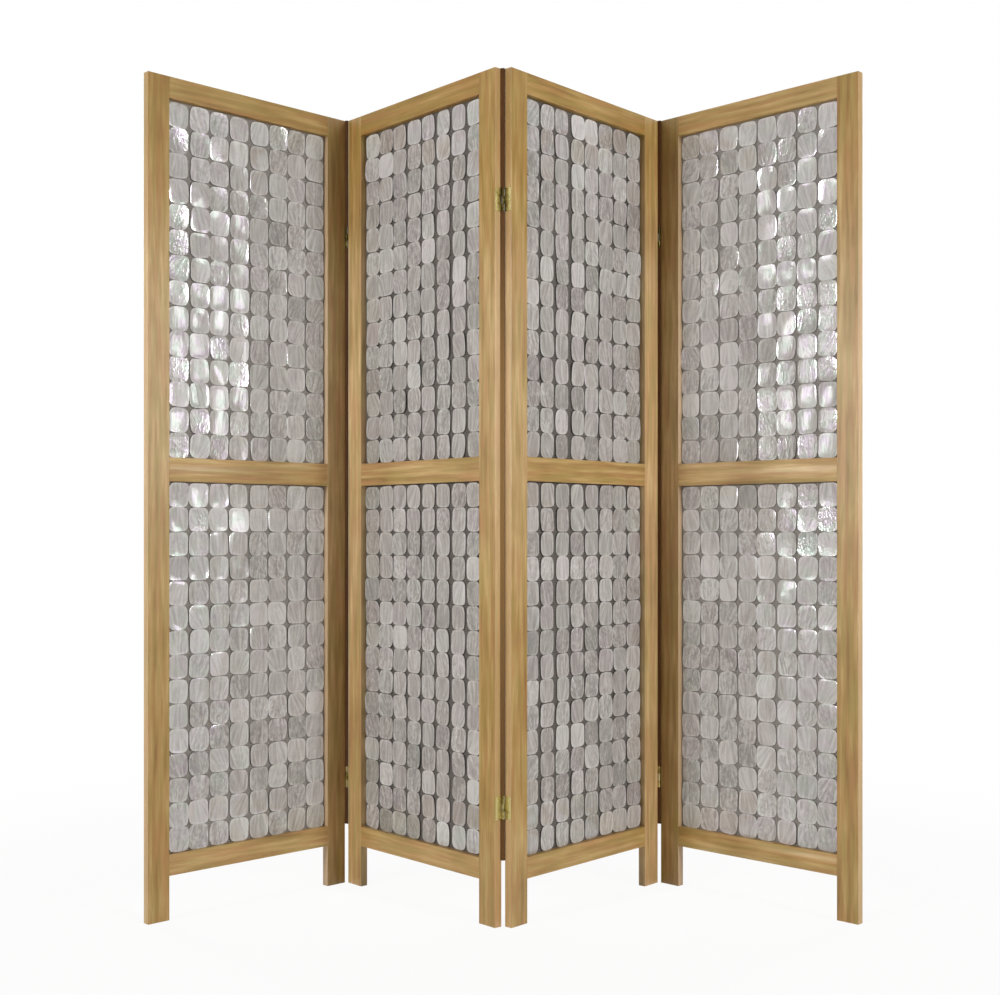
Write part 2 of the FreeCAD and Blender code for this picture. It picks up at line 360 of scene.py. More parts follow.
# Capiz shell, cut in rounded squares and left with its natural face: thin pearly layers with fibres that fan
# out from the shell's hinge, faint growth rings across them, a paler rim that is painted light caught in the
# thin edge, and a soft sheen that flares where a chip tilts
capizLook = {
    "tones": [(0.15, "#8A8580"), (0.5, "#AEA8A2"), (0.95, "#DBD7D3")],
    "tints": [(0.2, "#98A099"), (0.5, "#AEA8A2"), (0.8, "#A2969B")], "tintShare": 0.22,  # sea green to mauve
    "pearl": [(0.38, "#DDF5EA"), (0.5, "#FFFFFF"), (0.62, "#EFE2FB")],  # the sheen's colours
    "pearlSize": 24.0,  # mm
    "noises": {  # mm along and across the fibres
        "fibres": {"size": (60.0, 6.5), "detail": 3.0, "roughness": 0.6, "distortion": 0.0},
        "rings": {"size": (5.0, 60.0), "detail": 2.0, "roughness": 0.5, "distortion": 0.0},
        "flecks": {"size": (14.0, 6.5), "detail": 2.0, "roughness": 0.5, "distortion": 0.8},
    },
    "crackSize": (9.0, 5.0), "crazedFrom": (0.55, 0.8),  # mm; few chips have crazed
    "flakesFrom": (0.38, 0.64), "flakesBy": (-0.5, 0.5), "rimFrom": (0.74, 0.96),
    "toneStart": -0.49,
    "toneWeights": {
        "fibres": 1.15, "cracks": -0.25, "rings": 0.08, "flakes": 0.35, "chip": 0.75, "rim": 0.13},
    "reliefWeights": {"blisters": 1.0, "fibres": 0.2, "rings": 0.06, "cracks": -0.35},
    "bumpDepth": 0.75,  # mm
    "roughness": (0.1, 0.19), "roughestAt": 0.6,
}


def capizShell():
    look = capizLook
    material, tree = newMaterial("Capiz shell, cut and drilled")
    grain = addNode(tree, "ShaderNodeAttribute", attribute_name="shellGrain").outputs["Vector"]
    chip = addNode(tree, "ShaderNodeAttribute", attribute_name="shellChip").outputs
    tone, hue, gloss = addNode(tree, "ShaderNodeSeparateColor", {"Color": chip["Color"]}).outputs

    patterns = {"chip": tone}
    for name, noise in look["noises"].items():
        along, across = noise["size"]
        spread = addNode(tree, "ShaderNodeVectorMath", {
            0: grain, 1: (1 / along, 1 / across, 1.0)}, operation="MULTIPLY").outputs[0]
        patterns[name] = addNode(tree, "ShaderNodeTexNoise", {
            "Vector": spread, "Scale": 1.0, "Detail": noise["detail"], "Roughness": noise["roughness"],
            "Distortion": noise["distortion"]}).outputs["Fac"]
    flakes = addNode(tree, "ShaderNodeMapRange", {
        "Value": patterns["flecks"], "From Min": look["flakesFrom"][0], "From Max": look["flakesFrom"][1],
        "To Min": look["flakesBy"][0], "To Max": look["flakesBy"][1]}).outputs[0]
    patterns["flakes"] = addNode(tree, "ShaderNodeMath", {
        0: flakes, 1: gloss}, operation="MULTIPLY").outputs[0]

    along, across = look["crackSize"]
    spread = addNode(tree, "ShaderNodeVectorMath", {
        0: grain, 1: (1 / along, 1 / across, 1.0)}, operation="MULTIPLY").outputs[0]
    cracks = addNode(tree, "ShaderNodeTexVoronoi", {
        "Vector": spread, "Scale": 1.0}, feature="F1").outputs["Distance"]
    crazed = addNode(tree, "ShaderNodeMapRange", {
        "Value": gloss, "From Min": look["crazedFrom"][0], "From Max": look["crazedFrom"][1]}).outputs[0]
    patterns["cracks"] = addNode(tree, "ShaderNodeMath", {
        0: cracks, 1: crazed}, operation="MULTIPLY").outputs[0]
    # painted light: the paler rim stands in for light caught in the thin edge
    patterns["rim"] = addNode(tree, "ShaderNodeMapRange", {
        "Value": chip["Alpha"], "From Min": look["rimFrom"][0], "From Max": look["rimFrom"][1]},
        interpolation_type="SMOOTHSTEP").outputs[0]
    blistered = addNode(tree, "ShaderNodeMath", {  # few chips are
        0: gloss, 1: gloss}, operation="MULTIPLY").outputs[0]
    patterns["blisters"] = addNode(tree, "ShaderNodeMath", {
        0: patterns["flecks"], 1: blistered}, operation="MULTIPLY").outputs[0]

    level, relief = look["toneStart"], 0.0
    for name, weight in look["toneWeights"].items():
        level = addNode(tree, "ShaderNodeMath", {
            0: patterns[name], 1: weight, 2: level}, operation="MULTIPLY_ADD").outputs[0]
    for name, weight in look["reliefWeights"].items():
        relief = addNode(tree, "ShaderNodeMath", {
            0: patterns[name], 1: weight, 2: relief}, operation="MULTIPLY_ADD").outputs[0]
    base = addNode(tree, "ShaderNodeValToRGB", {"Fac": level}, stops=look["tones"]).outputs["Color"]
    tint = addNode(tree, "ShaderNodeValToRGB", {"Fac": hue}, stops=look["tints"]).outputs["Color"]
    color = addNode(tree, "ShaderNodeMix", {
        0: look["tintShare"], 6: base, 7: tint}, data_type="RGBA").outputs[2]

    rough = addNode(tree, "ShaderNodeMath", {
        0: gloss, 1: patterns["fibres"]}, operation="MULTIPLY").outputs[0]
    rough = addNode(tree, "ShaderNodeMapRange", {
        "Value": rough, "From Max": look["roughestAt"],
        "To Min": look["roughness"][0], "To Max": look["roughness"][1]}).outputs[0]
    lustre = addNode(tree, "ShaderNodeTexNoise", {
        "Vector": grain, "Scale": 1 / look["pearlSize"], "Detail": 1.0}).outputs["Fac"]
    pearl = addNode(tree, "ShaderNodeValToRGB", {"Fac": lustre}, stops=look["pearl"]).outputs["Color"]
    bump = addNode(tree, "ShaderNodeBump", {
        "Height": relief, "Strength": 1.0, "Distance": look["bumpDepth"] * millimetre}).outputs[0]
    shader = addNode(tree, "ShaderNodeBsdfPrincipled", {
        "Base Color": color, "Roughness": rough, "Normal": bump, "IOR": 1.58, "Specular IOR Level": 1.0,
        "Specular Tint": pearl})
    finishMaterial(tree, shader)
    return material


# A shell chip: no two are quite alike in outline, lie or crown
chipShape = {
    "trimAcross": (0.965, 1.015), "trimDown": (0.975, 1.012),  # shares of the room that it hangs in
    "corner": (3.5, 5.2), "wobble": 0.012, "lobes": (2, 3, 5),  # how square its outline is, and how uneven
    "roll": 1.8, "lean": 1.5,  # degrees, standard deviation
    "crown": (0.4, 1.7), "hollowShare": 0.84, "domed": 0.6,  # mm; most hang hollow side out, the rest flatter
    "thickness": 1.1, "warp": 0.5, "curl": 0.7, "rimDrop": 0.15,  # mm
    "curlFrom": 0.66, "dropFrom": 0.93,  # shares of the way to the rim
    "ripple": 0.12, "ripples": 3, "rippleTurn": (0.06, 0.16),  # mm; radians to a mm
    "umbo": (55.0, 110.0),  # mm to the hinge of the shell that it was cut from
    "umboAside": 0.2,  # radians off upright, standard deviation
    "grainRoom": 900,  # how far apart the fibres of two chips are drawn
    "paleShare": 0.1, "paler": 0.3, "toneSpread": 0.1,
    "rimPoints": 28, "rings": (0.3, 0.58, 0.8, 0.93, 0.985, 1.0),
}


def shellChip(dice, width, height, twist, toneAndLight):  # points as (across, up, lift) in mm, faces, grain and shade
    look = chipShape
    a, b = width / 2 * dice.uniform(*look["trimAcross"]), height / 2 * dice.uniform(*look["trimDown"])
    power = dice.uniform(*look["corner"])
    roll = math.radians(dice.gauss(0, look["roll"]))
    lean = [math.tan(math.radians(dice.gauss(turned, look["lean"]))) for turned in (twist, 0)]
    crown = dice.uniform(*look["crown"]) * (-1 if dice.random() < look["hollowShare"] else look["domed"])
    warp = dice.uniform(-look["warp"], look["warp"])
    curl = look["curl"] * (1 - look["warp"] + abs(warp)) * (1 if crown < 0 else -1)
    waves = [(dice.uniform(0, math.tau), dice.uniform(*look["rippleTurn"]), dice.uniform(0, math.tau))
             for n in range(look["ripples"])]
    wobble = [(n, dice.uniform(0, math.tau), dice.uniform(0, look["wobble"])) for n in look["lobes"]]
    hinge = dice.choice((-1, 1)) * math.pi / 2 + dice.gauss(0, look["umboAside"])  # most fibres hang upright
    far = dice.uniform(*look["umbo"])
    umbo = (far * math.cos(hinge), far * math.sin(hinge))
    seed = dice.uniform(0, look["grainRoom"])
    toneAndLight += look["paler"] if dice.random() < look["paleShare"] else 0
    tone = (min(1, max(0, dice.gauss(toneAndLight, look["toneSpread"]))), dice.random(), dice.random())

    def outline(turn):
        c, s = math.cos(turn), math.sin(turn)
        reach = (abs(c / a) ** power + abs(s / b) ** power) ** (-1 / power)
        reach *= 1 + sum(size * math.sin(n * turn + phase) for n, phase, size in wobble)
        return reach * c, reach * s

    def lift(x, z, share):
        up = crown * (1 - ((x / a) ** 2 + (z / b) ** 2) / 2) + lean[0] * x + lean[1] * z
        up += warp * x * z / (a * b)
        up += look["ripple"] * sum(math.sin((x * math.cos(d) + z * math.sin(d)) * k + p) for d, k, p in waves)
        up += curl * max(0.0, (share - look["curlFrom"]) / (1 - look["curlFrom"])) ** 2
        return up - look["rimDrop"] * max(0.0, (share - look["dropFrom"]) / (1 - look["dropFrom"])) ** 2

    count, ringCount = look["rimPoints"], len(look["rings"])
    rim = [outline(math.tau * n / count) for n in range(count)]
    flat = [(0.0, 0.0, 0.0)] + [(x * share, z * share, share) for share in look["rings"] for x, z in rim]
    front = [(x, z, lift(x, z, share), share) for x, z, share in flat]
    behind = [(x, z, up - look["thickness"], share) for x, z, up, share in front]
    behind = behind[:1] + behind[-count:]  # the back needs no inner rings
    points = front + behind
    lowest = min(point[2] for point in points)
    faces = []
    rimBase, backBase = 1 + (ringCount - 1) * count, len(front) + 1
    for n in range(count):
        after = (n + 1) % count
        faces.append((0, 1 + n, 1 + after))
        for ring in range(ringCount - 1):
            base = 1 + ring * count
            faces.append((base + n, base + count + n, base + count + after, base + after))
        faces.append((rimBase + n, backBase + n, backBase + after, rimBase + after))
        faces.append((len(front), backBase + after, backBase + n))
    c, s = math.cos(roll), math.sin(roll)
    placed = [(x * c - z * s, x * s + z * c, up - lowest) for x, z, up, share in points]
    grain = []
    for x, z, up, share in points:
        dx, dz = x - umbo[0], z - umbo[1]
        grain.append((math.hypot(dx, dz), math.atan2(dz, dx) * far, seed))
    shade = [(*tone, share) for x, z, up, share in points]
    return placed, faces, grain, shade


# Shell fields: chips hung close together in strings
shellField = {
    "columns": 8, "rows": {"upper": 14, "lower": 15},
    "gapAcross": {"outer": (1.0, 3.6), "inner": (-0.6, 7.5)},  # mm, at the fold behind and at the other side
    "openBy": 0.75,  # share of the way across where the gaps have opened fully
    "gapDown": -0.1, "sideMargin": 3.0, "topMargin": 2.0,  # mm
    "columnShift": 2.0, "columnSway": 0.8, "columnLift": 1.0, "clearance": 0.05,  # mm
    "swayTurn": 0.45, "jitter": (0.5, 0.35),  # radians from row to row; mm across and down
    "stringTwist": 2.9,  # degrees that the outer four strings of an end panel turn outwards
    # painted light: the end panels' chips are drawn paler than the inner panels'
    "toneAndLight": {"outer": 0.73, "inner": 0.55},
    "seed": 41,
}


def chipGrid(panel, level):  # the field's base, and the pitches from string to string and from row to row
    look = shellField
    base, top = panel.field(level)
    acrossPitch = (openingWidth - 2 * look["sideMargin"] * millimetre) / look["columns"]
    return base, acrossPitch, (top - base - look["topMargin"] * millimetre) / look["rows"][level]


def shellPiece(panel, level, material):
    look = shellField
    rows, columns = look["rows"][level], look["columns"]
    base, acrossPitch, downPitch = chipGrid(panel, level)
    outward = -1 if panel is panels[0] else 1
    nearGap, farGap = look["gapAcross"][panel.place]
    height = downPitch / millimetre - look["gapDown"]
    cloth = panel.depth(f"{panel.name}_{level}_scrim") - scrimCloth["thickness"] / 2  # its front
    dice = random.Random(look["seed"] + 10 * panelNames.index(panel.name) + (level == "upper"))
    points, faces, grain, shade = [], [], [], []
    for column in range(columns):
        shift, phase = dice.uniform(-1, 1) * look["columnShift"], dice.uniform(0, math.tau)
        turned = panel.place == "outer" and (column - (columns - 1) / 2) * outward > 0
        twist = -outward * look["stringTwist"] if turned else 0
        far = column / (columns - 1)  # from the fold behind to the panel's other side
        if panel in panels[::2]:
            far = 1 - far
        opened = min(1, far / look["openBy"])
        gap = nearGap + (farGap - nearGap) * opened ** 2 * (3 - 2 * opened)  # eased in and out
        width = acrossPitch / millimetre - gap
        string = cloth - (look["clearance"] + column % 2 * look["columnLift"]) * millimetre
        for row in range(rows):
            aside = shift + look["columnSway"] * math.sin(row * look["swayTurn"] + phase)
            aside += dice.gauss(0, look["jitter"][0])
            x = (column + 0.5 - columns / 2) * acrossPitch + aside * millimetre
            z = base + (row + 0.5) * downPitch + dice.gauss(0, look["jitter"][1]) * millimetre
            chip, chipFaces, chipGrain, chipShade = shellChip(
                dice, width, height, twist, look["toneAndLight"][panel.place])
            start = len(points)
            points += [panel.point(x + px * millimetre, string - lift * millimetre, z + pz * millimetre)
                       for px, pz, lift in chip]
            faces += [tuple(start + n for n in corners) for corners in chipFaces]
            grain += chipGrain
            shade += chipShade
    mesh = bpy.data.meshes.new(f"{panel.name}_{level}_capiz")
    mesh.from_pydata(points, [], faces)
    for name, kind, field, values in (("shellGrain", "FLOAT_VECTOR", "vector", grain),
                                      ("shellChip", "FLOAT_COLOR", "color", shade)):
        layer = mesh.attributes.new(name, kind, "POINT")
        layer.data.foreach_set(field, [number for value in values for number in value])
    mesh.polygons.foreach_set("use_smooth", [True] * len(mesh.polygons))
    mesh.materials.append(material)
    mesh.update()
    piece = newPiece(mesh, panel.name)
    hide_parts(f"{panel.name}_{level}_shells")


# Scrim, a plain open weave of dark cotton, stretched: matt threads over and under each other, no shine, with
# the shells showing through from behind as paler squares
scrimCloth = {
    "thickness": 0.0007, "thinner": 0.0001, "inset": 0.0005,  # metres
    "cells": (42, 80), "slack": 0.12, "slackWaves": (9, 13),  # slack in mm
    "threadStops": {
        # painted light and shade: the end panels' cloth is drawn paler and the inner panels' darker, lit and
        # shaded copies of one cloth
        "outer": [(0.05, "#78726D"), (0.5, "#969089")],
        "inner": [(0.05, "#46413D"), (0.5, "#68625C")],
        "behind": [(0.05, "#5A554F"), (0.5, "#7A746C")],
    },
    "threadSpacing": 2.2, "slubSize": 6.25, "bumpDepth": 0.3,  # mm; threads further apart than real, to show
    "shell": "#C4BEB6", "shellShows": (0.25, 0.62),  # from the dullest chip to the brightest
    "shellSway": 0.12, "swayWaves": 1.2,  # share of a chip; waves to a chip
    "shellEdge": (0.49, 0.42), "shellCorner": 4.0,  # shares of a chip; how square it is
    "holes": (1.0, 0.4), "holesTo": 0.6,  # how much shows through the holes and through the threads
}


def shellsBehind(tree, depth, color):  # what the cloth lets through from behind
    look = scrimCloth
    chips = addNode(tree, "ShaderNodeUVMap", uv_map="chips").outputs[0]  # counts strings and rows
    sway = addNode(tree, "ShaderNodeTexNoise", {
        "Vector": chips, "Scale": look["swayWaves"], "Detail": 1.0}).outputs["Color"]
    hung = addNode(tree, "ShaderNodeVectorMath", {
        0: sway, 1: (look["shellSway"],) * 3, 2: chips}, operation="MULTIPLY_ADD").outputs[0]
    inChip = addNode(tree, "ShaderNodeVectorMath", {0: hung}, operation="FRACTION").outputs[0]
    inChip = addNode(tree, "ShaderNodeVectorMath", {
        0: inChip, 1: (0.5, 0.5, 0)}, operation="SUBTRACT").outputs[0]
    parts = addNode(tree, "ShaderNodeSeparateXYZ", {"Vector": inChip}).outputs
    powers = [addNode(tree, "ShaderNodeMath", {
        0: parts[axis], 1: look["shellCorner"]}, operation="POWER").outputs[0] for axis in "XY"]
    reach = addNode(tree, "ShaderNodeMath", {0: powers[0], 1: powers[1]}, operation="ADD").outputs[0]
    outside, inside = [edge ** look["shellCorner"] for edge in look["shellEdge"]]
    square = addNode(tree, "ShaderNodeMapRange", {
        "Value": reach, "From Min": outside, "From Max": inside}, interpolation_type="SMOOTHSTEP").outputs[0]
    which = addNode(tree, "ShaderNodeVectorMath", {0: hung}, operation="FLOOR").outputs[0]
    which = addNode(tree, "ShaderNodeVectorMath", {  # each field has chips of its own
        0: which, 1: addNode(tree, "ShaderNodeObjectInfo").outputs["Random"]}, operation="ADD").outputs[0]
    dice = addNode(tree, "ShaderNodeTexWhiteNoise", {"Vector": which}, noise_dimensions="3D").outputs["Value"]
    bright = addNode(tree, "ShaderNodeMapRange", {
        "Value": dice, "To Min": look["shellShows"][0], "To Max": look["shellShows"][1]}).outputs[0]
    holes = addNode(tree, "ShaderNodeMapRange", {
        "Value": depth, "From Max": look["holesTo"],
        "To Min": look["holes"][0], "To Max": look["holes"][1]}).outputs[0]
    shows = addNode(tree, "ShaderNodeMath", {0: square, 1: bright}, operation="MULTIPLY").outputs[0]
    shows = addNode(tree, "ShaderNodeMath", {0: shows, 1: holes}, operation="MULTIPLY").outputs[0]
    return addNode(tree, "ShaderNodeMix", {
        0: shows, 6: color, 7: linearColor(look["shell"])}, data_type="RGBA").outputs[2]


def cottonScrim(side):
    look = scrimCloth
    material, tree = newMaterial(f"Cotton scrim, plain woven and dyed, {side}")
    spot = addNode(tree, "ShaderNodeUVMap", uv_map="cloth").outputs[0]  # metres along and across the cloth
    waveScale = math.pi / 20 / (look["threadSpacing"] * millimetre)  # a crest at every second thread
    warp, weft = [addNode(tree, "ShaderNodeTexWave", {
        "Vector": spot, "Scale": waveScale, "Distortion": 0.6, "Detail": 1.0},
        bands_direction=axis).outputs["Fac"] for axis in "XY"]
    weave = addNode(tree, "ShaderNodeMath", {0: warp, 1: weft}, operation="MAXIMUM").outputs[0]
    slubs = addNode(tree, "ShaderNodeTexNoise", {
        "Vector": spot, "Scale": 1 / (look["slubSize"] * millimetre), "Detail": 3.0}).outputs["Fac"]
    depth = addNode(tree, "ShaderNodeMath", {0: weave, 1: slubs}, operation="MULTIPLY").outputs[0]
    color = addNode(tree, "ShaderNodeValToRGB", {
        "Fac": depth}, stops=look["threadStops"][side]).outputs["Color"]
    if side == "behind":
        color = shellsBehind(tree, depth, color)
    bump = addNode(tree, "ShaderNodeBump", {
        "Height": weave, "Strength": 0.6, "Distance": look["bumpDepth"] * millimetre}).outputs[0]
    shader = addNode(tree, "ShaderNodeBsdfPrincipled", {
        "Base Color": color, "Roughness": 0.9, "Normal": bump, "IOR": 1.45, "Sheen Weight": 0.15})
    finishMaterial(tree, shader)
    return material


def scrimPiece(panel, level, front, behind):
    look = scrimCloth
    fieldBase, acrossPitch, downPitch = chipGrid(panel, level)
    node = f"{panel.name}_{level}_scrim"
    low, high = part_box(node)
    half = Vector((high.x - low.x, high.y - low.y, 0)).dot(
        Vector((abs(panel.across.x), abs(panel.across.y), 0))) / 2 - look["inset"]
    base, top = low.z + look["inset"], high.z - look["inset"]
    depth = panel.depth(node)
    dice = random.Random(shellField["seed"] + len(level))
    acrossPhase, upPhase = dice.uniform(0, math.tau), dice.uniform(0, math.tau)
    acrossWaves, upWaves = look["slackWaves"]
    columns, rows = look["cells"]
    points, spots, chips = [], [], []
    for row in range(rows + 1):
        for column in range(columns + 1):
            u, w = column / columns, row / rows
            slack = math.sin(math.pi * u) * math.sin(math.pi * w)  # held at the edges
            slack *= math.sin(acrossWaves * u + acrossPhase) * math.sin(upWaves * w + upPhase)
            aside, up = half * (2 * u - 1), base + (top - base) * w
            points.append(panel.point(aside, depth + abs(slack) * look["slack"] * millimetre, up))
            spots.append((half * 2 * u, (top - base) * w))
            chips.append((aside / acrossPitch + shellField["columns"] / 2, (up - fieldBase) / downPitch))
    corners = [row * (columns + 1) + column for row in range(rows) for column in range(columns)]
    faces = [(corner, corner + 1, corner + columns + 2, corner + columns + 1) for corner in corners]
    mesh = bpy.data.meshes.new(f"{panel.name}_{level}_cloth")
    mesh.from_pydata(points, [], faces)
    for name, places in (("cloth", spots), ("chips", chips)):
        layer = mesh.uv_layers.new(name=name)
        for loop in mesh.loops:
            layer.data[loop.index].uv = places[loop.vertex_index]
    mesh.polygons.foreach_set("use_smooth", [True] * len(mesh.polygons))
    mesh.materials.append(front)
    mesh.materials.append(behind)
    piece = newPiece(mesh, panel.name)
    thick = piece.modifiers.new("clothThickness", "SOLIDIFY")
    thick.thickness = look["thickness"] - look["thinner"]
    thick.offset = 0
    thick.material_offset = 1  # the side behind
    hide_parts(node)


def hangFields():
    capiz = capizShell()
    scrimWeave = {side: cottonScrim(side) for side in scrimCloth["threadStops"]}
    for panel in panels:
        for level in levels:
            scrimPiece(panel, level, scrimWeave[panel.place], scrimWeave["behind"])
            shellPiece(panel, level, capiz)


hangFields()
print("shell fields hung")


# Brass, stamped and rolled, gone dull with handling: warm dark yellow, browner in patches, with a broken
# satin shine
brassLook = {
    "stops": [(0.3, "#3A3016"), (0.52, "#908149"), (0.75, "#C9BC84")],  # tarnish, brass and bright brass
    "patch": 14.0, "scratch": (0.5, 0.5, 6.25), "bumpDepth": 0.05,  # mm
    "shadeToHighlight": (4.0, 19.0), "shadeToHighlightBy": (-0.2, 0.24),  # mm from the pin's axis where the painted shade by the barrel gives way to the painted highlight on the leaves, and where that is full
    "litBelow": (1.3, 0.5), "litBelowBy": 0.25,  # metres up; painted light: the lower hinges are drawn brighter
    "roughness": (0.42, 0.26), "smoothFrom": (0.35, 0.65),
}


def agedBrass(fold):
    look = brassLook
    material, tree = newMaterial(f"Brass, stamped and aged, fold {fold}")
    place = addNode(tree, "ShaderNodeTexCoord").outputs["Object"]
    tarnishAndLight = addNode(tree, "ShaderNodeTexNoise", {
        "Vector": place, "Scale": 1 / (look["patch"] * millimetre),
        "Detail": 4.0, "Roughness": 0.6}).outputs["Fac"]
    axis = middle(f"hinge_{fold}_pins")
    beside = addNode(tree, "ShaderNodeVectorMath", {0: place, 1: (1, 1, 0)}, operation="MULTIPLY").outputs[0]
    reach = addNode(tree, "ShaderNodeVectorMath", {
        0: beside, 1: (axis.x, axis.y, 0)}, operation="DISTANCE").outputs["Value"]
    shadeToHighlight = addNode(tree, "ShaderNodeMapRange", {
        "Value": reach, "From Min": look["shadeToHighlight"][0] * millimetre, "From Max": look["shadeToHighlight"][1] * millimetre,
        "To Min": look["shadeToHighlightBy"][0], "To Max": look["shadeToHighlightBy"][1]}).outputs[0]
    height = addNode(tree, "ShaderNodeSeparateXYZ", {"Vector": place}).outputs["Z"]
    litLower = addNode(tree, "ShaderNodeMapRange", {
        "Value": height, "From Min": look["litBelow"][0], "From Max": look["litBelow"][1],
        "To Max": look["litBelowBy"]}).outputs[0]
    # painted shade and light: darker by the barrel, brighter out on the leaves and on the lower hinges
    for change in (shadeToHighlight, litLower):
        tarnishAndLight = addNode(tree, "ShaderNodeMath", {0: tarnishAndLight, 1: change}, operation="ADD").outputs[0]
    color = addNode(tree, "ShaderNodeValToRGB", {"Fac": tarnishAndLight}, stops=look["stops"]).outputs["Color"]
    rough = addNode(tree, "ShaderNodeMapRange", {
        "Value": tarnishAndLight, "From Min": look["smoothFrom"][0], "From Max": look["smoothFrom"][1],
        "To Min": look["roughness"][0], "To Max": look["roughness"][1]}).outputs[0]
    drawn = addNode(tree, "ShaderNodeVectorMath", {
        0: place, 1: [1 / (size * millimetre) for size in look["scratch"]]}, operation="MULTIPLY").outputs[0]
    scratches = addNode(tree, "ShaderNodeTexNoise", {
        "Vector": drawn, "Scale": 1.0, "Detail": 2.0}).outputs["Fac"]
    bump = addNode(tree, "ShaderNodeBump", {
        "Height": scratches, "Strength": 0.2, "Distance": look["bumpDepth"] * millimetre}).outputs[0]
    shader = addNode(tree, "ShaderNodeBsdfPrincipled", {
        "Base Color": color, "Metallic": 1.0, "Roughness": rough, "Normal": bump})
    finishMaterial(tree, shader)
    return material


# Steel wire, drawn: grey with fine lines along it
pinLook = {"stops": [(0.35, "#5A544C"), (0.65, "#9A948B")], "line": (0.3, 0.3, 6.0)}  # mm


def drawnSteel():
    look = pinLook
    material, tree = newMaterial("Steel wire, drawn")
    place = addNode(tree, "ShaderNodeTexCoord").outputs["Object"]
    drawn = addNode(tree, "ShaderNodeVectorMath", {
        0: place, 1: [1 / (size * millimetre) for size in look["line"]]}, operation="MULTIPLY").outputs[0]
    lines = addNode(tree, "ShaderNodeTexNoise", {
        "Vector": drawn, "Scale": 1.0, "Detail": 2.0}).outputs["Fac"]
    color = addNode(tree, "ShaderNodeValToRGB", {"Fac": lines}, stops=look["stops"]).outputs["Color"]
    shader = addNode(tree, "ShaderNodeBsdfPrincipled", {
        "Base Color": color, "Metallic": 1.0, "Roughness": 0.35})
    finishMaterial(tree, shader)
    return material


# Slotted wood screws, two through each hinge leaf
hingeScrew = {
    "headRadius": 2.9, "rise": 0.25, "depth": 1.2, "topShare": 0.86, "baseShare": 0.62, "sides": 24,  # mm
    "slotWidth": 0.7, "slotDepth": 0.5, "spread": 15.0, "leafThickness": 1.4,  # mm
    "slotTurn": 0.5, "turnApart": 0.9,  # radians
}


def screwMesh(material):  # along +Z, its head's edge at the origin
    look = hingeScrew
    radius, sides, rise = look["headRadius"] * millimetre, look["sides"], look["rise"] * millimetre
    shape = bmesh.new()
    loops = []
    for share, up in ((look["topShare"], rise), (1.0, 0.0), (look["baseShare"], -look["depth"] * millimetre)):
        turns = [math.tau * n / sides for n in range(sides)]
        loops.append([shape.verts.new((radius * share * math.cos(turn), radius * share * math.sin(turn), up))
                      for turn in turns])
    shape.faces.new(loops[0])
    shape.faces.new(list(reversed(loops[-1])))
    for upper, lower in zip(loops, loops[1:]):
        for n in range(sides):
            after = (n + 1) % sides
            shape.faces.new((upper[n], lower[n], lower[after], upper[after]))
    slot = bmesh.new()
    bmesh.ops.create_cube(slot, size=1, matrix=Matrix.Diagonal((  # right across, half of it above the head
        3 * radius, look["slotWidth"] * millimetre, 2 * look["slotDepth"] * millimetre, 1)))
    bmesh.ops.translate(slot, verts=slot.verts, vec=(0, 0, rise))
    blanks = []
    for name, form in (("screwBlank", shape), ("slotCutter", slot)):
        solid = bpy.data.meshes.new(name)
        form.to_mesh(solid)
        form.free()
        blanks.append(bpy.data.objects.new(name, solid))
        scene.collection.objects.link(blanks[-1])
    cut = blanks[0].modifiers.new("slot", "BOOLEAN")
    cut.object = blanks[1]
    cut.operation = "DIFFERENCE"
    bpy.context.view_layer.update()
    mesh = bpy.data.meshes.new_from_object(blanks[0].evaluated_get(bpy.context.evaluated_depsgraph_get()))
    for blank in blanks:
        bpy.data.objects.remove(blank)
    mesh.materials.clear()
    mesh.materials.append(material)
    return mesh


def driveScrews(leaf, name, panel, out, screw, brass):  # out is the side of the panel where the leaf lies
    look = hingeScrew
    low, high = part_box(leaf)
    plane = panel.width / 2 + look["leafThickness"] * millimetre  # the leaf's bare face
    aim = (panel.across * out).to_track_quat("Z", "Y").to_matrix().to_4x4()
    joined = bmesh.new()
    for step in (-1, 1):
        up = (low.z + high.z) / 2 + step * look["spread"] * millimetre
        turn = look["slotTurn"] + step * look["turnApart"] + panels.index(panel) + 1
        driven = screw.copy()
        place = Matrix.Translation(panel.point(out * plane, 0, up))
        driven.transform(place @ aim @ Matrix.Rotation(turn, 4, "Z"))
        joined.from_mesh(driven)
        bpy.data.meshes.remove(driven)
    mesh = bpy.data.meshes.new(name)
    joined.to_mesh(mesh)
    joined.free()
    mesh.materials.append(brass)
    newPiece(mesh, panel.name)


def dressHinges():
    steel = drawnSteel()
    for fold in folds:
        brass = agedBrass(fold)
        screw = screwMesh(brass)
        cadNodes[f"hinge_{fold}_pins"].material_slots[0].material = steel
        for level in levels:
            for side, number, out in (("left", fold[0], 1), ("right", fold[1], -1)):
                hinge = f"hinge_{fold}_{level}_{side}"
                cadNodes[hinge + "_leaf"].material_slots[0].material = brass
                driveScrews(hinge + "_leaf", hinge + "_screws", panels[int(number) - 1], out, screw, brass)


dressHinges()
print("hinges dressed")


# Pale studio floor that fades into a white backdrop
studio = {
    "floorColor": "#F4F3F1", "floorHalf": 12.0, "fade": (0.9, 2.4),  # metres
    "nearWhite": 0.93,  # how far the floor near the screen is already white to the eye
    "ambient": 0.05,
}


def seenDirectly(tree):  # 1 to the eye, in gloss and through glass, 0 to the rest of the light
    path = addNode(tree, "ShaderNodeLightPath").outputs
    seen = path["Is Camera Ray"]
    for ray in ("Is Glossy Ray", "Is Transmission Ray"):
        seen = addNode(tree, "ShaderNodeMath", {0: seen, 1: path[ray]}, operation="MAXIMUM").outputs[0]
    return seen


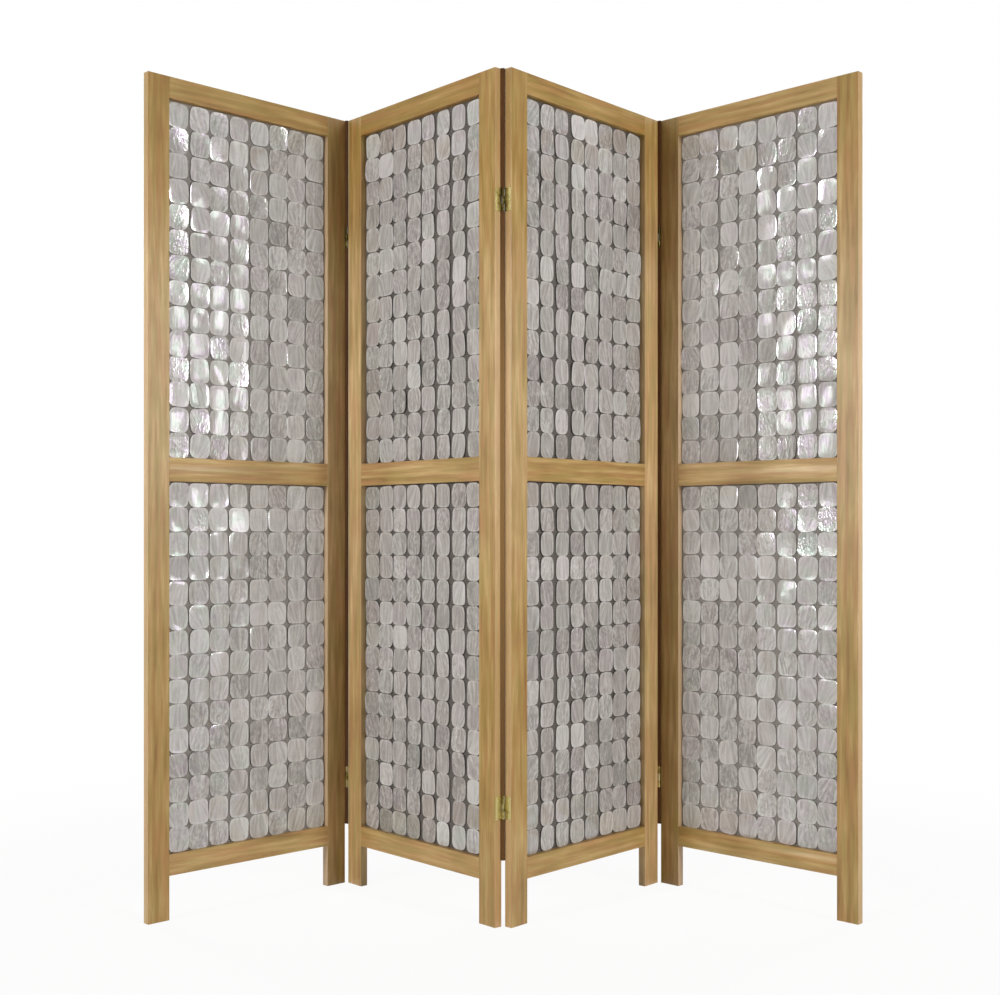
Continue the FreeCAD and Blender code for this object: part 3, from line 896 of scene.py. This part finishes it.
def buildStudio():
    world = bpy.data.worlds.new("White studio")
    scene.world = world
    world.use_nodes = True
    tree = world.node_tree
    tree.nodes.clear()
    strength = addNode(tree, "ShaderNodeMapRange", {
        "Value": seenDirectly(tree), "To Min": studio["ambient"], "To Max": 1.0}).outputs[0]
    light = addNode(tree, "ShaderNodeBackground", {"Color": (1, 1, 1, 1), "Strength": strength})
    addNode(tree, "ShaderNodeOutputWorld", {"Surface": light.outputs[0]})

    half = studio["floorHalf"]
    mesh = bpy.data.meshes.new("studio_floor")
    corners = [(-half, -half, 0), (half, -half, 0), (half, half, 0), (-half, half, 0)]
    mesh.from_pydata(corners, [], [(0, 1, 2, 3)])
    floor = bpy.data.objects.new("studio_floor", mesh)
    scene.collection.objects.link(floor)
    material, tree = newMaterial("Painted studio floor, matt")
    place = addNode(tree, "ShaderNodeTexCoord").outputs["Object"]
    far = addNode(tree, "ShaderNodeVectorMath", {0: place}, operation="LENGTH").outputs["Value"]
    fade = addNode(tree, "ShaderNodeMapRange", {
        "Value": far, "From Min": studio["fade"][0], "From Max": studio["fade"][1],
        "To Min": studio["nearWhite"]}, interpolation_type="SMOOTHSTEP").outputs[0]
    fade = addNode(tree, "ShaderNodeMath", {0: fade, 1: seenDirectly(tree)}, operation="MULTIPLY").outputs[0]
    matt = addNode(tree, "ShaderNodeBsdfDiffuse", {"Color": linearColor(studio["floorColor"])}).outputs[0]
    white = addNode(tree, "ShaderNodeEmission", {"Color": (1, 1, 1, 1), "Strength": 1.0}).outputs[0]
    finishMaterial(tree, addNode(tree, "ShaderNodeMixShader", {0: fade, 1: matt, 2: white}))
    mesh.materials.append(material)


# Soft boxes, in pairs: a tall one before each half of the screen, a weaker one out at each side that the
# outer shells mirror, and a broad one behind each half for the back
lamps = {
    "frontBox": {"place": (3.93, -3.62, 2.1), "aim": (0, 0, 1.0), "size": (0.7, 1.6), "watts": 161},
    "sideBox": {"place": (5.02, -2.05, 1.75), "aim": (-0.6, 0, 1.1), "size": (0.62, 1.3), "watts": 17},
    "rearBox": {"place": (3.6, 3.8, 2.1), "aim": (0, 0, 0.95), "size": (1.6, 2.2), "watts": 115},
}


def hangLamps():
    for name, lamp in lamps.items():
        for side, hand in ((-1, "Left"), (1, "Right")):
            light = bpy.data.lights.new(name + hand, "AREA")
            light.shape = "RECTANGLE"
            light.size, light.size_y = lamp["size"]
            light.energy = lamp["watts"]
            hung = bpy.data.objects.new(light.name, light)
            scene.collection.objects.link(hung)
            hung.location = (side * lamp["place"][0], *lamp["place"][1:])
            aim = Vector((side * lamp["aim"][0], *lamp["aim"][1:])) - hung.location
            hung.rotation_euler = aim.to_track_quat("-Z", "Y").to_euler()


# Camera at the photograph's viewing angle: level, a little left of the middle fold
viewer = {
    "place": (-0.0047, -3.2043, 0.838), "focal": 1412.6,  # metres; focal length in pixels of the picture
    "pictureSize": (1000, 995), "axisPixel": (501.0, 533.8), "sensorWidth": 36.0,  # pixels; sensor in mm
}


def setCamera():
    data = bpy.data.cameras.new("viewer")
    width, height = viewer["pictureSize"]
    data.sensor_width = viewer["sensorWidth"]
    data.lens = viewer["focal"] / width * viewer["sensorWidth"]
    data.shift_x = (width / 2 - viewer["axisPixel"][0]) / width
    data.shift_y = (viewer["axisPixel"][1] - height / 2) / width
    camera = bpy.data.objects.new("viewer", data)
    scene.collection.objects.link(camera)
    camera.location = viewer["place"]
    camera.rotation_euler = (math.pi / 2, 0, 0)
    scene.camera = camera


buildStudio()
hangLamps()
setCamera()
print("studio set")
